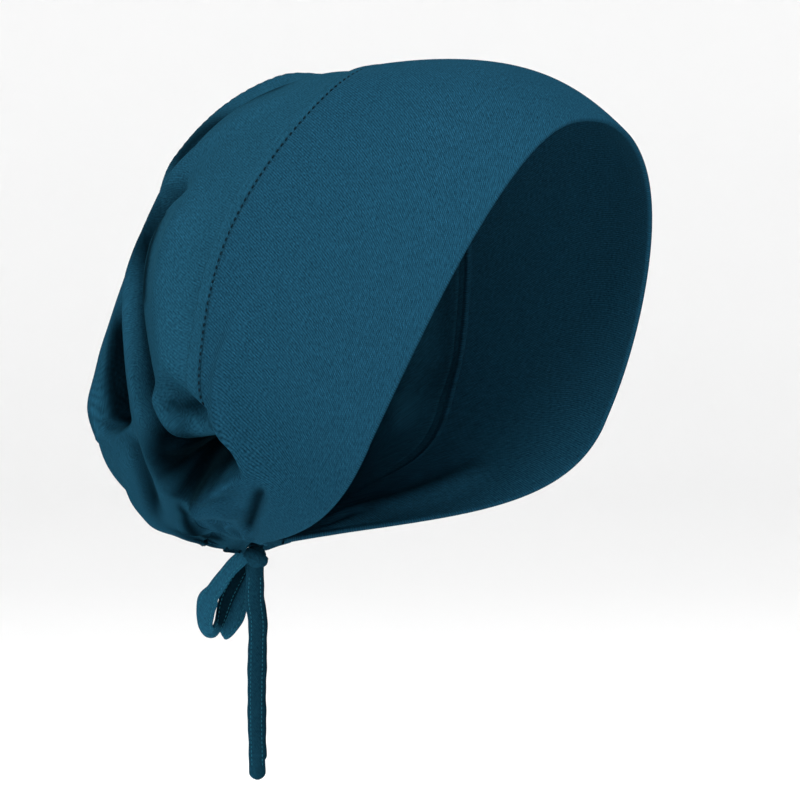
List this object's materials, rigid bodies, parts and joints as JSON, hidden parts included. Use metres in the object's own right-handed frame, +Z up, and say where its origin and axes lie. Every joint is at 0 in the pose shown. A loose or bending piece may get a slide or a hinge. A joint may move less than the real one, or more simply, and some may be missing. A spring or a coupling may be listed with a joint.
{
  "type": "hijab underscarf cap",
  "caption": "Jersey underscarf cap in its worn shape: wide smooth front band, seamed slouchy crown gathered at the nape, and a tied bow with hanging ends.",
  "frame": {"origin": "inside of the crown where the top of the wearer's head touches it", "axes": "+Z up out of the crown, -Y towards the face opening, +Y to the back of the head, -X to the side nearer the camera"},
  "size_m": [0.1632, 0.2126, 0.2826],
  "materials": {
    "band_jersey": "matte teal cotton jersey, doubled",
    "crown_jersey": "matte teal cotton jersey, single",
    "tie_jersey": "matte teal jersey strip, stitched edges"
  },
  "bodies": {
    "root": {"front_band": "band_jersey", "crown_bag": "crown_jersey", "tie_knot": "tie_jersey", "tie_tail_near": "tie_jersey", "tie_tail_far": "tie_jersey", "tie_loop_near": "tie_jersey", "tie_loop_far": "tie_jersey"}
  },
  "joints": []
}
